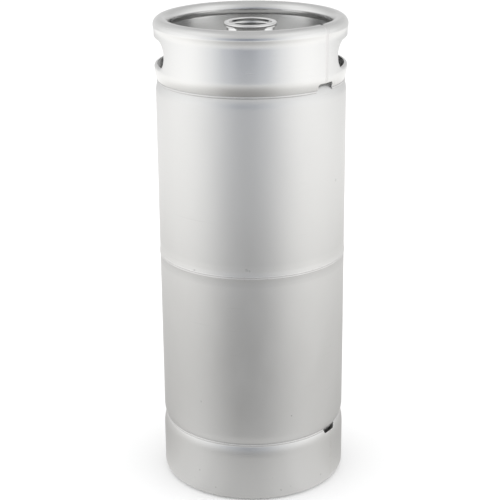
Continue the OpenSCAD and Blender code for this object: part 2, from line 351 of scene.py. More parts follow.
def steel(name, level, rough, grain=1.0, lines="round", tint=(1.0, 1.0, 0.992), marks=(), bands=(), wear=1.0):
    """Stainless steel with polishing lines, cloudy handling marks, fine scratches and, where asked, spots and bands of
    painted light and shade.

    lines: "round" for lines that run round the keg, "rings" for lathe marks on flats, "plain" for none.
    marks: (point, reach, darker) of scuffs; bands: (height, half width, lighter, rougher) across the height, where a
    positive lighter paints a highlight and a negative one paints shade, and rougher changes the roughness.
    """
    g = Recipe(name)
    cloud = g.noise(g.stretched((7, 7, 5)), detail=4, rough=0.55, warp=0.4)
    haze = g.noise(g.stretched((38, 38, 22)), detail=5, rough=0.6)
    fine = g.noise(g.stretched((900, 900, 900)), detail=2)
    if lines == "rings":
        rings = g.tree.nodes.new("ShaderNodeCombineXYZ")
        g.put(rings.inputs[0], g.math("MULTIPLY", g.radius(), 2600))
        g.put(rings.inputs[1], g.math("MULTIPLY", g.axis("Z"), 2600))
        brushed = g.noise(rings.outputs[0], detail=2)
    else:
        brushed = g.noise(g.stretched((26, 26, 2400)), detail=3, rough=0.65)
    scratch = g.ramp(g.noise(g.stretched((9, 9, 520), (4, -3, 0)), detail=4, rough=0.7), 0.66, 0.74)
    nick = g.ramp(g.noise(g.stretched((420, 30, 60), (18, 31, 9)), detail=2), 0.72, 0.8)
    tone = g.math("ADD", g.math("MULTIPLY", cloud, 0.10), g.math("MULTIPLY", haze, 0.05))
    tone = g.math("ADD", g.math("MULTIPLY", tone, wear), 0.925 - 0.075 * (wear - 1.0))
    tone = g.math("SUBTRACT", tone, g.math("MULTIPLY", scratch, 0.05 * wear))
    gloss = g.math("ADD", g.math("MULTIPLY", g.math("SUBTRACT", cloud, 0.5), 0.16 * wear), rough)
    gloss = g.math("ADD", gloss, g.math("MULTIPLY", g.math("SUBTRACT", haze, 0.5), 0.12 * wear))
    gloss = g.math("ADD", gloss, g.math("MULTIPLY", g.math("SUBTRACT", brushed, 0.5), 0.14 * grain))
    gloss = g.math("ADD", gloss, g.math("MULTIPLY", scratch, 0.12 * wear))
    # Painted light and shade: each band makes the tone lighter or darker as a highlight or a shade would, and also
    # changes the roughness.
    for height, half, lighter, rougher in bands:
        away = g.math("ABSOLUTE", g.math("SUBTRACT", g.axis("Z"), height))
        painted_band = g.ramp(away, half * 0.35, half, 1.0, 0.0)
        painted_band = g.math("MULTIPLY", painted_band, g.ramp(haze, 0.3, 0.7, 0.6, 1.0))
        tone = g.math("ADD", tone, g.math("MULTIPLY", painted_band, lighter))
        gloss = g.math("ADD", gloss, g.math("MULTIPLY", painted_band, rougher))
    for point, reach, darker in marks:
        spot = g.math("MULTIPLY", g.near(point, reach), g.ramp(fine, 0.35, 0.6))
        tone = g.math("SUBTRACT", tone, g.math("MULTIPLY", spot, darker))
        gloss = g.math("ADD", gloss, g.math("MULTIPLY", spot, 0.15))
    bright = grey(level, tint)
    scaled = g.tree.nodes.new("ShaderNodeVectorMath")
    scaled.operation = "SCALE"
    scaled.inputs[0].default_value = bright[:3]
    g.put(scaled.inputs["Scale"], tone)
    g.put(g.shader.inputs["Base Color"], scaled.outputs[0])
    g.put(g.shader.inputs["Roughness"], g.math("MAXIMUM", gloss, 0.04, clamp=True))
    g.shader.inputs["Metallic"].default_value = 1.0
    relief = g.bump(brushed, 0.000012 * grain, 0.5)
    relief = g.bump(haze, 0.00012 * wear, 0.25, relief)
    relief = g.bump(g.math("SUBTRACT", 1.0, g.math("MAXIMUM", scratch, nick)), 0.00002, 0.6 * wear, relief)
    g.put(g.shader.inputs["Normal"], relief)
    return g.material


def weld(name, level, rough):
    """Weld metal: brushed crowns, dull etched hollows and fine spatter."""
    g = Recipe(name)
    cloud = g.noise(g.stretched((60, 60, 60)), detail=4, rough=0.6)
    fine = g.noise(g.stretched((1500, 1500, 1500)), detail=3)
    streak = g.noise(g.stretched((80, 80, 2600)), detail=2)
    pits = g.ramp(g.noise(g.stretched((700, 700, 700)), detail=1), 0.66, 0.74)
    tone = g.math("ADD", 0.86, g.math("MULTIPLY", cloud, 0.22))
    tone = g.math("SUBTRACT", tone, g.math("MULTIPLY", pits, 0.25))
    scaled = g.tree.nodes.new("ShaderNodeVectorMath")
    scaled.operation = "SCALE"
    scaled.inputs[0].default_value = grey(level, (1.0, 0.995, 0.985))[:3]
    g.put(scaled.inputs["Scale"], tone)
    g.put(g.shader.inputs["Base Color"], scaled.outputs[0])
    gloss = g.math("ADD", rough, g.math("MULTIPLY", g.math("SUBTRACT", fine, 0.5), 0.25))
    gloss = g.math("ADD", gloss, g.math("MULTIPLY", g.math("SUBTRACT", cloud, 0.5), 0.2))
    g.put(g.shader.inputs["Roughness"], gloss)
    g.shader.inputs["Metallic"].default_value = 1.0
    relief = g.bump(fine, 0.00004, 0.6)
    relief = g.bump(streak, 0.00002, 0.5, relief)
    g.put(g.shader.inputs["Normal"], relief)
    return g.material


def rubber(name, level, rough):
    """Moulded black rubber with a bloom of wear and a fine mould grain."""
    g = Recipe(name)
    bloom = g.noise(g.stretched((120, 120, 120)), detail=4, rough=0.6)
    grain = g.noise(g.stretched((2200, 2200, 2200)), detail=2)
    share = g.ramp(bloom, 0.4, 0.75)
    colour = g.mix(share, grey(level, (1, 1, 1.02)), grey(level * 2.0, (1.0, 0.99, 0.97)))
    g.put(g.shader.inputs["Base Color"], colour)
    g.put(g.shader.inputs["Roughness"], g.math("ADD", rough - 0.08, g.math("MULTIPLY", bloom, 0.2)))
    g.shader.inputs["Specular IOR Level"].default_value = 0.4
    g.put(g.shader.inputs["Normal"], g.bump(grain, 0.00003, 0.5))
    return g.material


def at(az, z, r=SHELL_R):
    """A point on the keg in metres."""
    return tuple(float(v) * MM for v in place(az, r, z))


SHELL_MARKS = (
    (at(-3.4, 308.5), 0.0026, 0.30),
    (at(-1.7, 307.2), 0.0018, 0.35),
    (at(-37.0, 300.5), 0.0024, 0.30),
    (at(24.0, 113.0), 0.0013, 0.45),
    (at(-34.0, 129.0), 0.0020, 0.18),
    (at(61.0, 402.0), 0.0030, 0.15),
    (at(151.0, 214.0), 0.0038, 0.2),
    (at(-118.0, 355.0), 0.0030, 0.2),
    (at(205.0, 447.0), 0.0024, 0.25),
)
FOOT_MARKS = (
    (at(-24.5, 14.5, WALL_R), 0.0016, 0.35),
    (at(-40.0, 20.0, WALL_R), 0.0014, 0.30),
    (at(47.0, 17.0, WALL_R), 0.0020, 0.25),
    (at(140.0, 22.0, WALL_R), 0.0030, 0.25),
    (at(17.0, 13.0, WALL_R), 0.0017, 0.35),
    (at(23.5, 16.0, WALL_R), 0.0013, 0.30),
    (at(-36.0, 33.0, WALL_R), 0.0014, 0.30),
    (at(11.5, 31.0, WALL_R), 0.0011, 0.25),
)
# Painted highlight just above the girth weld, where the flared upper shell faces up, and painted shade just below it,
# where the lower shell faces down; both bands also change the roughness.
GIRTH_SHEEN_AND_SHADE_BANDS = (
    ((GIRTH_Z + 9.0) * MM, 0.008, 0.03, -0.03),
    ((GIRTH_Z - 7.0) * MM, 0.007, -0.05, 0.05),
)

VESSEL = steel("vessel_steel", 0.62, 0.40, marks=SHELL_MARKS, bands=GIRTH_SHEEN_AND_SHADE_BANDS)
COLLAR = steel("collar_steel", 0.63, 0.25, grain=0.6, wear=0.5)
FOOT = steel("foot_steel", 0.63, 0.34, grain=0.7, marks=FOOT_MARKS, wear=0.6)
NECK = steel("neck_steel", 0.68, 0.13, grain=0.5, lines="rings", wear=0.5)
VALVE = steel("valve_steel", 0.60, 0.24, grain=0.6, lines="rings", wear=0.8)
SPRING = steel("spring_steel", 0.48, 0.30, grain=0.4, wear=0.8, tint=(0.98, 1.0, 1.02))
BALL = steel("ball_steel", 0.72, 0.09, grain=0.1, wear=0.3)
WELD = weld("weld_metal", 0.64, 0.34)
SEAL = rubber("seal_rubber", 0.018, 0.5)
GASKET = rubber("gasket_rubber", 0.03, 0.55)


# ---------------------------------------------------------------- collars


class Collar:
    """The rolled and pierced sheet at one end of the keg."""

    def __init__(self, at_rim):
        self.at_rim = at_rim
        self.bulge = 1.0 if at_rim else 0.0
        self.seam_az = RIM_SEAM_AZ if at_rim else FOOT_SEAM_AZ
        self.notch = RIM_NOTCH if at_rim else FOOT_NOTCH
        self.roll = (WALL_R + self.bulge - ROLL_R, ROLL_R - 0.15)
        reach = ROLL_R + BLEND_R
        self.blend = math.degrees(math.acos((reach - self.bulge) / reach))
        self.blend_s = self.roll[1] + math.sqrt(reach**2 - (reach - self.bulge) ** 2)

    def roll_point(self, turn, depth):
        a = math.radians(turn)
        r, s = self.roll[0] + (ROLL_R - depth) * math.cos(a), self.roll[1] + (ROLL_R - depth) * math.sin(a)
        return r, max(s, 0.0) if depth < 0.5 else s

    def blend_point(self, turn, depth):
        a = math.radians(turn)
        return WALL_R + BLEND_R + (BLEND_R + depth) * math.cos(a), self.blend_s + (BLEND_R + depth) * math.sin(a)

    def wall_point(self, s, depth):
        """Radius and s of the sheet at a given s; depth counts inward from its outer face."""
        cx, cs, cr = EDGE_CURVE
        lean = np.arcsin(np.clip((s - cs) / cr, 0, 1))
        r = np.where(s > cs, cx + (cr - depth) * np.cos(lean), WALL_R - depth)
        return r, s - depth * np.sin(lean)

    def stations(self, wall):
        """Functions from depth to (radius, s), from the end of the roll to the last of the wall's rows."""
        out = [lambda d, t=t: self.roll_point(t, d) for t in np.linspace(ROLL_END, 0 if self.bulge else -6, 34)]
        if self.bulge:
            out += [lambda d, t=t: self.roll_point(t, d) for t in (self.blend / 2,)]
            out += [lambda d, t=t: self.blend_point(t, d) for t in np.linspace(180 + self.blend, 180, 6)]
        out += [lambda d, s=s: tuple(float(v) for v in self.wall_point(np.float64(s), d)) for s in wall]
        return out

    def notch_line(self, count):
        """Evenly spaced points (across, s) and outward directions along the edge past a notch."""
        half, depth = self.notch
        round_out, c = 0.8, NOTCH_CORNER
        side = [(-half - 8.0, EDGE_S)]
        side += arc(-half - round_out, EDGE_S - round_out, round_out, 90, 0, 6)
        side += arc(-half + c, EDGE_S - depth + c, c, 180, 270, 12)
        line = np.array(side + [(-x, s) for x, s in reversed(side)])
        step = np.linalg.norm(np.diff(line, axis=0), axis=1)
        along = np.concatenate([[0], np.cumsum(step)])
        return lambda share: np.stack([np.interp(share * along[-1], along, line[:, k]) for k in (0, 1)], -1)

    def build(self):
        reach = math.degrees(math.asin((self.notch[0] + 8.0) / WALL_R))
        spans = [(self.seam_az + turn - reach, self.seam_az + turn + reach) for turn in (0, 180)]
        cuts = {v for span in spans for v in span} | {self.seam_az - 180, self.seam_az + 270, 0.0}
        straight = math.degrees(math.asin((HOLE_HALF[0] - HOLE_CORNER) / WALL_R))
        hole_sides = (-35.0, -straight, straight, 35.0) if self.at_rim else ()
        hole_cuts = [az + side for az in (90, 270) for side in hole_sides]
        first = min(cuts)
        breaks = sorted({round((c - first) % 360 + first, 6) for c in list(cuts) + hole_cuts})
        breaks.append(breaks[0] + 360.0)
        inside = lambda a: any((a - lo) % 360 <= (hi - lo) for lo, hi in spans)
        steps = [0.38 if inside((a + b) / 2) else 1.5 for a, b in zip(breaks, breaks[1:])]
        az = spread(breaks, steps)[:-1]
        wall_rows = list(np.linspace(20.5, 59.5, 17)) if self.at_rim else list(spread([9.35, 58.65], 4.0))
        fan_start = 60.5 if self.at_rim else 60.0
        rows = {}
        for depth in (0.0, WALL_T):
            made = []
            for station in self.stations(wall_rows):
                r, s = station(depth)
                made.append(place(az, r, keg_z(s, self.at_rim)))
            line = self.notch_line(0)
            edge_az, edge_s = az.copy(), np.full(len(az), EDGE_S)
            for lo, hi in spans:
                share = ((az - lo) % 360) / (hi - lo)
                in_span = share <= 1.0
                points = line(np.clip(share, 0, 1))
                turned = np.degrees(np.arcsin(points[:, 0] / WALL_R))
                middle = (lo + hi) / 2
                edge_az = np.where(in_span, middle + turned, edge_az)
                edge_s = np.where(in_span, points[:, 1], edge_s)
            base = np.where(np.abs(edge_az - az) > 180, edge_az + np.round((az - edge_az) / 360) * 360, edge_az)
            flat = np.stack([base * math.radians(1) * WALL_R, edge_s], -1)
            ahead = np.roll(flat, -1, 0)
            behind = np.roll(flat, 1, 0)
            ahead[-1, 0] += 360 * math.radians(1) * WALL_R
            behind[0, 0] -= 360 * math.radians(1) * WALL_R
            along = ahead - behind
            along /= np.linalg.norm(along, axis=1, keepdims=True)
            out = np.stack([-along[:, 1], along[:, 0]], -1)
            pulled = flat - out * 0.3
            last_az, last_s = pulled[:, 0] / (math.radians(1) * WALL_R), pulled[:, 1]
            for share in (0.0, 0.2, 0.4, 0.6, 0.8, 0.93, 1.0):
                s = fan_start + (last_s - fan_start) * share
                r, s2 = self.wall_point(s, depth)
                made.append(place(az + (last_az - az) * share, r, keg_z(s2, self.at_rim)))
            rows[depth] = made
        rim = []
        for depth in (0.3, WALL_T - 0.3):
            r, s2 = self.wall_point(edge_s, depth)
            rim.append(place(base, r, keg_z(s2, self.at_rim)))
        end = []
        for depth in (WALL_T - 0.3, 0.3):
            r, s = self.roll_point(ROLL_END - 1.8, depth)
            end.append(place(az, r, keg_z(s, self.at_rim)))
        outer, inner = rows[0.0], rows[WALL_T]
        loop = outer + rim + inner[::-1] + end
        holes = []
        if self.at_rim:
            lead = len(outer) - 7 - len(wall_rows)
            low_row, high_row = lead, lead + len(wall_rows) - 1
            for middle in (90.0, 270.0):
                beta = (az - middle + 180) % 360 - 180
                columns = np.where(np.abs(beta) <= 35.001)[0]
                columns = columns[np.argsort(beta[columns])]
                holes.append((middle, columns, beta))
        total = len(loop)

        def keep(i, j):
            for middle, columns, beta in holes:
                mirrored = total - len(end) - 1 - i - 1
                for k in (i, mirrored):
                    if low_row <= k < high_row and j in self.hole_cells[middle]:
                        return False
            return True

        self.hole_cells = {m: set(columns[:-1].tolist()) for m, columns, beta in holes}
        skin = Skin()
        skin.grid(loop, closed=True, keep=keep)
        for middle, columns, beta in holes:
            skin.grid(self.hole_rings(middle, columns, beta, outer, inner, low_row, high_row, wall_rows))
        name = "top_collar" if self.at_rim else "foot_collar"
        nodes = ("top_rim", "top_chime") if self.at_rim else ("foot_rim", "bottom_chime")
        return skin.piece(name, COLLAR if self.at_rim else FOOT, "collar_steel", "keg", nodes)

    def hole_rings(self, middle, columns, beta, outer, inner, low_row, high_row, wall_rows):
        """Rings that carry the sheet from the grid round a hand hole into its softly turned-in lip and back."""
        across = WALL_R * np.sin(np.radians(beta[columns]))
        last = len(columns) - 1
        n = high_row - low_row
        path = [(0, k) for k in range(last)] + [(k, last) for k in range(n)]
        path += [(n, k) for k in range(last, 0, -1)] + [(k, 0) for k in range(n, 0, -1)]
        reach_y, reach_z = across[-1], wall_rows[-1] - HOLE_S
        cy, cz = HOLE_HALF[0] - HOLE_CORNER, HOLE_HALF[1] - HOLE_CORNER
        base, out = [], []
        for row, column in path:
            y, z = across[column], wall_rows[row] - HOLE_S
            sy, sz = math.copysign(1, y), math.copysign(1, z)
            on_long = row in (0, n)
            if on_long and abs(y) <= cy:
                base.append((y, sz * HOLE_HALF[1]))
                out.append((0.0, sz))
                continue
            if not on_long and abs(z) <= cz:
                base.append((sy * HOLE_HALF[0], z))
                out.append((sy, 0.0))
                continue
            share = (abs(y) - cy) / (reach_y - cy) if on_long else (abs(z) - cz) / (reach_z - cz)
            turn = math.radians(90 - 45 * share if on_long else 45 * share)
            base.append((sy * (cy + HOLE_CORNER * math.cos(turn)), sz * (cz + HOLE_CORNER * math.sin(turn))))
            out.append((sy * math.cos(turn), sz * math.sin(turn)))
        base, out = np.array(base), np.array(out)
        a = math.radians(middle)
        ahead, side = np.array([math.sin(a), -math.cos(a), 0]), np.array([math.cos(a), math.sin(a), 0])

        def lift(yz, r):
            x = np.sqrt(r * r - yz[:, 0] ** 2)
            z = keg_z(HOLE_S + yz[:, 1], self.at_rim)
            return x[:, None] * ahead + yz[:, :1] * side + z[:, None] * np.array([0, 0, 1.0])

        def rings_to(grid_rows, r, corner_offset, stop_r, backwards):
            start = np.array([grid_rows[low_row + row][columns[column]] for row, column in path])
            flat = np.stack([start @ side, (KEG_H - start[:, 2]) - HOLE_S], -1)
            wide = base + out * BEND_R
            made = [start]
            made += [lift(flat + (wide - flat) * share, r) for share in (0.4, 0.8, 1.0)]
            p0, p1, p2 = made[-1], lift(base + out * corner_offset, r), lift(base + out * corner_offset, stop_r)
            for t in np.linspace(0, 1, 7)[1:]:
                w = 2 * t * (1 - t) * 0.72
                made.append(((1 - t) ** 2 * p0 + w * p1 + t * t * p2) / ((1 - t) ** 2 + w + t * t))
            return made[::-1] if backwards else made

        rings = rings_to(outer, WALL_R, 0.0, WALL_R - BEND_R, False)
        rings += [lift(base, HOLE_LIP_R + 0.9), lift(base, HOLE_LIP_R + 0.35)]
        rings += [lift(base + out * 0.35, HOLE_LIP_R), lift(base + out * (WALL_T - 0.35), HOLE_LIP_R)]
        rings += [lift(base + out * WALL_T, HOLE_LIP_R + 0.35), lift(base + out * WALL_T, HOLE_LIP_R + 0.9)]
        rings += rings_to(inner, WALL_R - WALL_T, WALL_T, WALL_R - BEND_R - 0.2, True)
        return rings

    def build_seam(self):
        """The lengthwise weld: a low ground bead over the roll and down the wall to its notch."""
        half = 3.1
        wall = spread([20.6, 58.65], 0.5) if self.at_rim else spread([9.35, 58.65], 0.5)
        rows = []
        for turn in np.linspace(ROLL_END + 1, 0 if self.bulge else -3, 150):
            rows.append(lambda d, t=turn: self.roll_point(t, d))
        if self.bulge:
            rows += [lambda d, t=t: self.blend_point(t, d) for t in np.linspace(180 + self.blend, 180, 22)]
        tail = spread([58.65, EDGE_S - self.notch[1] - 0.2], 0.5)
        rows += [lambda d, s=s: tuple(float(v) for v in self.wall_point(np.float64(s), d)) for s in [*wall, *tail[1:]]]
        across = np.array([-1.0, -0.82, -0.55, -0.25, 0.0, 0.25, 0.55, 0.82, 1.0])
        height = ripple(5 if self.at_rim else 6, 200.0, 1.5)
        skin, along, grid, before = Skin(), 0.0, [], None
        for station in rows:
            r0, s0 = station(0.0)
            if before is not None:
                along += math.hypot(r0 - before[0], s0 - before[1])
            before = (r0, s0)
            top = []
            for x in across:
                crown = (1 - x * x) * (0.10 + 0.05 * float(height(along + 0.9 * x * x)))
                top.append((x, -crown + 0.05 * abs(x) ** 6))
            ring = top + [(x, 0.5) for x in across[::-1]]
            line = []
            for x, depth in ring:
                r, s = station(depth if depth < 0 else depth)
                if s0 <= 0.001:
                    s = max(s, 0.0)
                line.append(place(self.seam_az + math.degrees(x * half / WALL_R), r, keg_z(s, self.at_rim)))
            grid.append(line)
        grid = np.array(grid)
        skin.grid(grid)
        skin.fan(grid[0])
        skin.fan(grid[-1])
        prefix = "top" if self.at_rim else "foot"
        node = "top_chime_seam" if self.at_rim else "bottom_chime_seam"
        return skin.piece(f"{prefix}_collar_seam", WELD, "weld_metal", "keg", (node,))

    def build_bead(self):
        """The fillet weld between the collar's edge and the knuckle, in two runs that stop at the notches."""
        centre_r, centre_s, bead_r = 112.9, 75.9, 1.6
        gap = math.degrees(math.asin((self.notch[0] + 0.4) / centre_r))
        skin = Skin()
        turns = np.linspace(0, 360, 17)[:-1]
        for run in (0, 1):
            az = spread([self.seam_az + 180 * run + gap, self.seam_az + 180 * (run + 1) - gap], 0.28)
            height = ripple(11 + run + 2 * self.at_rim, 400.0, 2.1)
            along = np.radians(az - az[0]) * centre_r
            ends = np.minimum(along, along[-1] - along)
            taper = np.sqrt(np.clip(1 - (1 - np.clip(ends / 1.8, 0, 1)) ** 2, 0.02, 1))
            grid = []
            for turn in turns:
                a = math.radians(turn)
                lag = 0.9 * math.sin(a + 0.6) ** 2
                radius = (bead_r - 0.16 + 0.2 * height(np.clip(along + lag, 0, None))) * taper
                r, s = centre_r + radius * math.cos(a), centre_s + radius * math.sin(a)
                dr, ds = r - KNUCKLE[0], s - KNUCKLE[1]
                far = np.sqrt(dr**2 + ds**2)
                fit = np.maximum(far, KNUCKLE[2] - 0.5) / far
                r, s = KNUCKLE[0] + dr * fit, KNUCKLE[1] + ds * fit
                grid.append(place(az, r, keg_z(s, self.at_rim)))
            grid = np.transpose(np.array(grid), (1, 0, 2))
            skin.grid(grid)
            skin.fan(grid[0])
            skin.fan(grid[-1])
        prefix = "top" if self.at_rim else "foot"
        node = "top_chime_weld" if self.at_rim else "bottom_chime_weld"
        return skin.piece(f"{prefix}_collar_weld", WELD, "weld_metal", "keg", (node,))


for end_is_rim in (True, False):
    collar = Collar(end_is_rim)
    collar.build()
    collar.build_seam()
    collar.build_bead()


# ---------------------------------------------------------------- vessel


def drawn_sheet(az, r, z):
    """Shallow unevenness of the drawn sheet and two faint knocks, in millimetres outward."""
    a = np.radians(az)
    soft = 0.045 * np.sin(3 * a + z / 61 + 0.7) + 0.03 * np.sin(7 * a - z / 37 + 2.1)
    soft = soft + 0.02 * np.sin(13 * a + z / 19 + 4.0) + 0.012 * np.sin(23 * a - z / 11)
    wall = np.clip((r - 108.0) / 6.0, 0, 1)
    clear = np.clip(np.abs(z - GIRTH_Z) / 12.0 - 0.3, 0, 1)
    knocks = 0.0
    for knock_az, knock_z, size, deep in ((152.0, 214.0, 13.0, 0.5), (-117.0, 357.0, 9.0, 0.35), (-2.6, 308.0, 3.0, 0.1)):
        off = np.sqrt((((az - knock_az + 180) % 360 - 180) * 2.02) ** 2 + (z - knock_z) ** 2)
        knocks = knocks - deep * np.exp(-((off / size) ** 2))
    return (soft * clear + knocks) * wall


def shell_line(depth, open_end):
    """(radius, s) along one face of a vessel half, from its crown to the girth."""
    line = arc(CROWN[0], CROWN[1], CROWN[2] - depth, -90 if not open_end else -81.22, -CROWN_ANGLE, 22)
    line += arc(KNUCKLE[0], KNUCKLE[1], KNUCKLE[2] - depth, -CROWN_ANGLE, 0, 18)[1:]
    half_h = (KEG_H - GIRTH_Z if open_end else GIRTH_Z) - GIRTH_HALF
    line += [(SHELL_R - depth, float(s)) for s in spread([KNUCKLE[1], half_h - FLARE_H], 6.0)[1:]]
    for share in (0.15, 0.4, 0.7, 1.0):
        line.append((SHELL_R - depth + FLARE * share**1.5, half_h - FLARE_H * (1 - share)))
    return line


def build_half(name, node, open_end):
    outer = shell_line(0.0, open_end)
    inner = shell_line(SHELL_T, open_end)
    if open_end:
        section = [(r, keg_z(s, True)) for r, s in outer + inner[::-1]]
        lathe(name, section, 400, VESSEL, "vessel_steel", "keg", (node,), drawn_sheet)
        return
    az = np.arange(400) * 0.9
    skin = Skin()
    line = np.array(outer[1:] + inner[:0:-1])
    r, z = line[:, :1], line[:, 1:]
    rows = place(az[None, :], r + drawn_sheet(az[None, :], r, z), z)
    skin.grid(rows)
    skin.fan(rows[0])
    skin.fan(rows[-1])
    skin.piece(name, VESSEL, "vessel_steel", "keg", (node,))


build_half("upper_vessel", "upper_shell", True)
build_half("lower_vessel", "lower_shell", False)


def girth_line():
    """Section of the girth weld: two low ridges with a groove between them, and a flat root inside."""
    low, high, face = GIRTH_Z - GIRTH_HALF, GIRTH_Z + GIRTH_HALF, SHELL_R + FLARE
    line = [(face - SHELL_T - 0.4, low), (face - 0.3, low)]
    for side in (-1, 1):
        centre = GIRTH_Z + side * GIRTH_HALF / 2
        for t in np.linspace(-1, 1, 13)[0 if side < 0 else 1 :]:
            line.append((face + 0.01 + 0.36 * math.cos(t * math.pi / 2) ** 2, centre + t * GIRTH_HALF / 2))
    line += [(face - 0.3, high), (face - SHELL_T - 0.4, high)]
    return line


girth_height = ripple(3, 2 * math.pi * 117.0, 1.9)


def girth_ripple(az, r, z):
    along = np.radians(az) * 116.0 + 0.0 * z
    side = np.where(z > GIRTH_Z, 1.1, 0.0)
    lift = np.clip((r - SHELL_R - FLARE) / 0.36, 0, 1)
    return -0.03 * lift * (1 - girth_height(along + side + 1.4 * np.abs(z - GIRTH_Z - np.sign(z - GIRTH_Z) * 1.1)))


lathe("girth_seam", girth_line(), 1440, WELD, "weld_metal", "keg", ("girth_weld",), girth_ripple)


# ---------------------------------------------------------------- neck

LIP_Z = KEG_H - 7.5


def neck_rows():
    """(radius, drop below the lip, whether the radius is the bayonet opening's) round the neck's section."""
    outside = filleted(
        [(19.3, -35.0), (29.0, -35.0), (29.0, -5.0, 0.03), (32.0, -4.9, 0.6), (32.0, 0.0, 3.2),
         (26.3, 0.0, 0.35), (25.5, -0.8, 0.3), (25.5, -4.3, 0.0)], steps=4)
    rows = [(r, z, 0.0) for r, z in outside]
    rows += [(0.45, -4.3, 1.0), (0.12, -4.38, 1.0), (0.0, -4.7, 1.0), (0.0, -6.3, 1.0), (0.0, -7.9, 1.0)]
    rows += [(0.12, -8.2, 1.0), (0.45, -8.3, 1.0), (25.3, -8.3, 0.0)]
    inside = [(25.3, -8.7), (25.3, -14.3), (25.45, -14.5), (26.2, -14.5), (26.2, -16.3), (25.45, -16.3),
              (25.3, -16.5), (25.3, -21.1), (25.1, -21.3), (19.6, -21.3), (19.3, -21.6)]
    return rows + [(r, z, 0.0) for r, z in inside]


def build_neck():
    corner_in = math.degrees(math.asin(6.5 / 22.0))
    corner_out = math.degrees(math.asin(6.5 / 25.3))
    breaks = [-corner_in - 0.3, -corner_out + 0.3, corner_out - 0.3, corner_in + 0.3, 180 - corner_in - 0.3]
    breaks += [180 - corner_out + 0.3, 180 + corner_out - 0.3, 180 + corner_in + 0.3, 360 - corner_in - 0.3]
    beta = spread(breaks, [0.25, 1.25, 0.25, 1.25] * 2)[:-1]
    sine = np.maximum(np.abs(np.sin(np.radians(beta))), 1e-3)
    opening = np.clip(6.5 / sine, 22.0, 25.28)
    rows = []
    for r, drop, slotted in neck_rows():
        radius = np.minimum(opening + r, 25.3) if slotted else np.full(len(beta), r)
        rows.append(place(beta + 90.0, radius, LIP_Z + drop))
    skin = Skin()
    skin.grid(rows, closed=True)
    skin.piece("neck_fitting", NECK, "neck_steel", "keg", ("neck",))


build_neck()

dome_s = CROWN[1] - math.sqrt(CROWN[2] ** 2 - NECK_R**2)
neck_bead = ripple(21, 2 * math.pi * 30.0, 1.8)


def neck_weld_line():
    line = [(NECK_R - 0.3, keg_z(dome_s + 0.3, True))]
    for turn in np.linspace(90, 0, 9):
        a = math.radians(turn)
        line.append((NECK_R + 2.9 * math.cos(a), keg_z(dome_s - 2.9 * math.sin(a) + 0.25, True)))
    line.append((NECK_R + 2.9, keg_z(dome_s + 1.1, True)))
    return line


lathe("neck_seam", neck_weld_line(), 540, WELD, "weld_metal", "keg", ("neck_weld",),
      lambda az, r, z: np.clip((r - NECK_R) / 2, 0, 1) * -0.22 * (1 - neck_bead(np.radians(az) * 30.0 + 0.5 * (r - NECK_R))))


# ---------------------------------------------------------------- extractor


def drop(points):
    """Heights given below the lip, turned into heights above the floor."""
    return [(p[0], LIP_Z + p[1]) + tuple(p[2:]) for p in points]


SEAL_TOP, SEAL_FOOT = -19.6 - 2.0 + 0.0, -28.5 + 0.0


def node_mm(name):
    low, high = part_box(name)
    return low / MM, high / MM


seal_low, seal_high = node_mm("gas_seal")
cup_low, cup_high = node_mm("spear_cup")
seat_low, seat_high = node_mm("spring_seat")
housing_low, housing_high = node_mm("valve_housing")
gasket_low, gasket_high = node_mm("neck_gasket")
tube_low, tube_high = node_mm("spear_tube")
ball_low, ball_high = node_mm("beer_ball")
ring_low, ring_high = node_mm("retaining_ring")
core_low, core_high = node_mm("seal_core")
gas_low, gas_high = node_mm("gas_spring")
beer_low, beer_high = node_mm("ball_spring")

boss_top = seal_high.z
seal_shoulder = boss_top - 2.0
lathe("gas_seal_rubber",
      filleted([(5.6, seal_low.z, 0.3), (10.5, seal_low.z, 0.1), (10.5, seal_low.z + 1.8, 0.1), (14.5, seal_low.z + 1.8, 0.1),
                (14.5, seal_low.z, 0.1), (16.6, seal_low.z, 0.4), (16.6, seal_shoulder - 1.4, 0.5), (15.2, seal_shoulder, 0.5),
                (13.5, seal_shoulder, 0.2), (13.5, boss_top, 0.5), (7.5, boss_top, 0.4), (5.6, boss_top - 1.9, 0.5)], steps=4),
      160, SEAL, "seal_rubber", "spear", ("gas_seal",))
lathe("seal_core_ring", filleted([(10.5, core_low.z), (14.5, core_low.z), (14.5, core_high.z), (10.5, core_high.z)], 0.15),
      120, VALVE, "valve_steel", "spear", ("seal_core",))
lathe("spear_cup_body",
      filleted([(8.0, cup_low.z, 0.1), (10.9, cup_low.z, 0.8), (10.9, cup_high.z - 1.2, 0.5), (16.4, cup_high.z - 1.2, 0.3),
                (16.4, cup_high.z, 0.3), (10.0, cup_high.z, 0.6), (10.0, cup_low.z + 1.2, 0.6), (8.0, cup_low.z + 1.2, 0.1)],
               steps=4),
      144, VALVE, "valve_steel", "spear", ("spear_cup",))
lathe("spear_pipe",
      filleted([(7.2, tube_low.z, 0.2), (8.0, tube_low.z, 0.3), (8.0, 150.0, 0), (8.0, 300.0, 0), (8.0, 450.0, 0),
                (8.0, tube_high.z, 0.2), (7.2, tube_high.z, 0.2), (7.2, 450.0, 0), (7.2, 300.0, 0), (7.2, 150.0, 0)]),
      96, VALVE, "valve_steel", "spear", ("spear_tube",))
lathe("spring_seat_plate",
      filleted([(8.4, seat_low.z, 0.2), (9.6, seat_low.z, 0.3), (9.6, seat_low.z + 3.0, 0.4), (17.6, seat_low.z + 3.0, 0.2),
                (17.6, seat_high.z, 0.3), (8.4, seat_high.z, 0.6)], steps=4),
      144, VALVE, "valve_steel", "keg", ("spring_seat",))
lathe("neck_gasket_ring",
      filleted([(19.3, gasket_low.z), (23.0, gasket_low.z), (23.0, gasket_high.z), (19.3, gasket_high.z)], 0.5, steps=4),
      160, GASKET, "gasket_rubber", "keg", ("neck_gasket",))


